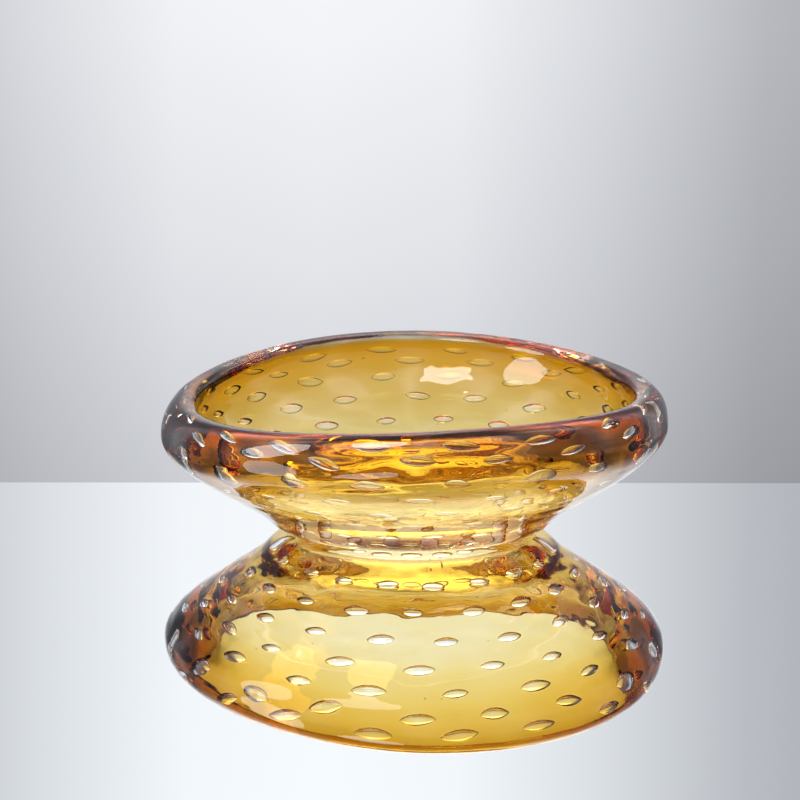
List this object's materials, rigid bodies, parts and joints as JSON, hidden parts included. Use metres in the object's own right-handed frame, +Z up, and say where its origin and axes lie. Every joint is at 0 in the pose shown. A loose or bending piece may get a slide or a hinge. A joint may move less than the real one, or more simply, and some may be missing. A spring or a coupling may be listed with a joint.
{
  "type": "art glass bowl",
  "caption": "Low, heavy hand-blown cased glass bowl: amber inside under thick clear glass, rows of trapped air bubbles, a rolled free-formed rim and a ground flat foot.",
  "frame": {"origin": "middle of the foot's ground flat face, on the surface the bowl stands on", "axes": "+Z up, out of the bowl's mouth; +X to the right and -Y to the front, as the bowl is shown"},
  "size_m": [0.278, 0.2775, 0.086],
  "materials": {
    "amber_glass": "fire-polished transparent amber glass",
    "clear_glass": "fire-polished thick clear glass with a faint smoky tint"
  },
  "bodies": {
    "root": {"clear_outer_casing": "clear_glass", "amber_inner_bowl": "amber_glass"}
  },
  "joints": []
}
